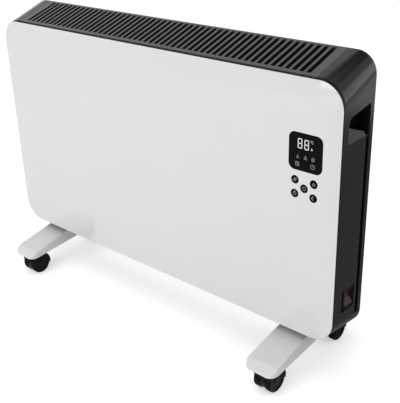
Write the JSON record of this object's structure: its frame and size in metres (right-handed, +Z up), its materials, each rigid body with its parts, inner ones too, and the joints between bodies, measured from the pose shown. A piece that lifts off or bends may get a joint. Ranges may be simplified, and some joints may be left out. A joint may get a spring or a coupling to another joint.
{
  "type": "panel convector heater",
  "caption": "Glass-fronted panel convector heater with a slotted top outlet, side finger recesses, a rocker switch, and feet on swivelling twin-wheel castors.",
  "frame": {"origin": "on the floor, under the middle of the heater, where the castors roll", "axes": "+X along the width to the side with the switch, the glass faces -Y, +Z up"},
  "size_m": [0.8002, 0.26, 0.5541],
  "materials": {
    "white_glass": "white back-printed glass, gloss",
    "black_glass": "black back-printed glass, gloss",
    "black_steel": "matt black powder coat",
    "black_plastic": "satin black moulded plastic",
    "white_plastic": "satin white moulded plastic",
    "castor_plastic": "black nylon",
    "castor_tread": "black nylon, satin tread",
    "rocker_plastic": "dark translucent red plastic",
    "zinc_steel": "zinc plated steel",
    "bright_sheet": "plain aluminium",
    "circuit_board": "green laminate with parts",
    "display_block": "black display block",
    "bakelite": "dark phenolic plastic"
  },
  "bodies": {
    "heater": {"front_glass": "white_glass", "display_window": "black_glass", "touch_key_1": "black_glass", "touch_key_2": "black_glass", "touch_key_3": "black_glass", "touch_key_4": "black_glass", "touch_key_5": "black_glass", "front_plate": "black_steel", "control_board": "circuit_board", "display_module": "display_block", "top_grille": "black_plastic", "bottom_grille": "black_plastic", "end_cap_left": "black_plastic", "end_cap_right": "black_plastic", "back_panel": "black_steel", "cord_gland": "black_plastic", "heat_baffle": "bright_sheet", "heating_element": "bright_sheet", "element_bracket_left": "zinc_steel", "element_bracket_right": "zinc_steel", "thermal_cutout": "bakelite", "power_board": "circuit_board", "tilt_switch": "bakelite", "switch_body": "black_plastic", "back_screw_1": "zinc_steel", "back_screw_2": "zinc_steel", "back_screw_3": "zinc_steel", "back_screw_4": "zinc_steel", "foot_left": "white_plastic", "foot_screw_left_front": "zinc_steel", "foot_screw_left_rear": "zinc_steel", "foot_right": "white_plastic", "foot_screw_right_front": "zinc_steel", "foot_screw_right_rear": "zinc_steel", "castor_front_left_stem": "zinc_steel", "castor_front_right_stem": "zinc_steel", "castor_rear_left_stem": "zinc_steel", "castor_rear_right_stem": "zinc_steel"},
    "switch_rocker": {"switch_rocker": "rocker_plastic"},
    "castor_front_left": {"castor_front_left_hood": "castor_plastic", "castor_front_left_axle": "zinc_steel"},
    "castor_front_left_wheel_left": {"castor_front_left_wheel_left": "castor_tread"},
    "castor_front_left_wheel_right": {"castor_front_left_wheel_right": "castor_tread"},
    "castor_front_right": {"castor_front_right_hood": "castor_plastic", "castor_front_right_axle": "zinc_steel"},
    "castor_front_right_wheel_left": {"castor_front_right_wheel_left": "castor_tread"},
    "castor_front_right_wheel_right": {"castor_front_right_wheel_right": "castor_tread"},
    "castor_rear_left": {"castor_rear_left_hood": "castor_plastic", "castor_rear_left_axle": "zinc_steel"},
    "castor_rear_left_wheel_left": {"castor_rear_left_wheel_left": "castor_tread"},
    "castor_rear_left_wheel_right": {"castor_rear_left_wheel_right": "castor_tread"},
    "castor_rear_right": {"castor_rear_right_hood": "castor_plastic", "castor_rear_right_axle": "zinc_steel"},
    "castor_rear_right_wheel_left": {"castor_rear_right_wheel_left": "castor_tread"},
    "castor_rear_right_wheel_right": {"castor_rear_right_wheel_right": "castor_tread"}
  },
  "joints": [
    {"name": "switch_rocker_tilt", "type": "hinge", "parent": "heater", "child": "switch_rocker", "pos_m": [0.39, 0.0041, 0.1568], "axis": [0, 1, 0], "range_deg": [0, 24]},
    {"name": "castor_front_left_swivel", "type": "hinge", "parent": "heater", "child": "castor_front_left", "pos_m": [-0.313, -0.0956, 0.05], "axis": [0, 0, 1], "continuous": true},
    {"name": "castor_front_left_wheel_left_roll", "type": "hinge", "parent": "castor_front_left", "child": "castor_front_left_wheel_left", "pos_m": [-0.313, -0.0996, 0.0214], "axis": [1, 0, 0], "continuous": true},
    {"name": "castor_front_left_wheel_right_roll", "type": "hinge", "parent": "castor_front_left", "child": "castor_front_left_wheel_right", "pos_m": [-0.313, -0.0996, 0.0214], "axis": [1, 0, 0], "continuous": true},
    {"name": "castor_front_right_swivel", "type": "hinge", "parent": "heater", "child": "castor_front_right", "pos_m": [0.318, -0.0956, 0.05], "axis": [0, 0, 1], "continuous": true},
    {"name": "castor_front_right_wheel_left_roll", "type": "hinge", "parent": "castor_front_right", "child": "castor_front_right_wheel_left", "pos_m": [0.318, -0.0996, 0.0214], "axis": [1, 0, 0], "continuous": true},
    {"name": "castor_front_right_wheel_right_roll", "type": "hinge", "parent": "castor_front_right", "child": "castor_front_right_wheel_right", "pos_m": [0.318, -0.0996, 0.0214], "axis": [1, 0, 0], "continuous": true},
    {"name": "castor_rear_left_swivel", "type": "hinge", "parent": "heater", "child": "castor_rear_left", "pos_m": [-0.313, 0.0956, 0.05], "axis": [0, 0, 1], "continuous": true},
    {"name": "castor_rear_left_wheel_left_roll", "type": "hinge", "parent": "castor_rear_left", "child": "castor_rear_left_wheel_left", "pos_m": [-0.313, 0.0916, 0.0214], "axis": [1, 0, 0], "continuous": true},
    {"name": "castor_rear_left_wheel_right_roll", "type": "hinge", "parent": "castor_rear_left", "child": "castor_rear_left_wheel_right", "pos_m": [-0.313, 0.0916, 0.0214], "axis": [1, 0, 0], "continuous": true},
    {"name": "castor_rear_right_swivel", "type": "hinge", "parent": "heater", "child": "castor_rear_right", "pos_m": [0.318, 0.0956, 0.05], "axis": [0, 0, 1], "continuous": true},
    {"name": "castor_rear_right_wheel_left_roll", "type": "hinge", "parent": "castor_rear_right", "child": "castor_rear_right_wheel_left", "pos_m": [0.318, 0.0916, 0.0214], "axis": [1, 0, 0], "continuous": true},
    {"name": "castor_rear_right_wheel_right_roll", "type": "hinge", "parent": "castor_rear_right", "child": "castor_rear_right_wheel_right", "pos_m": [0.318, 0.0916, 0.0214], "axis": [1, 0, 0], "continuous": true}
  ]
}
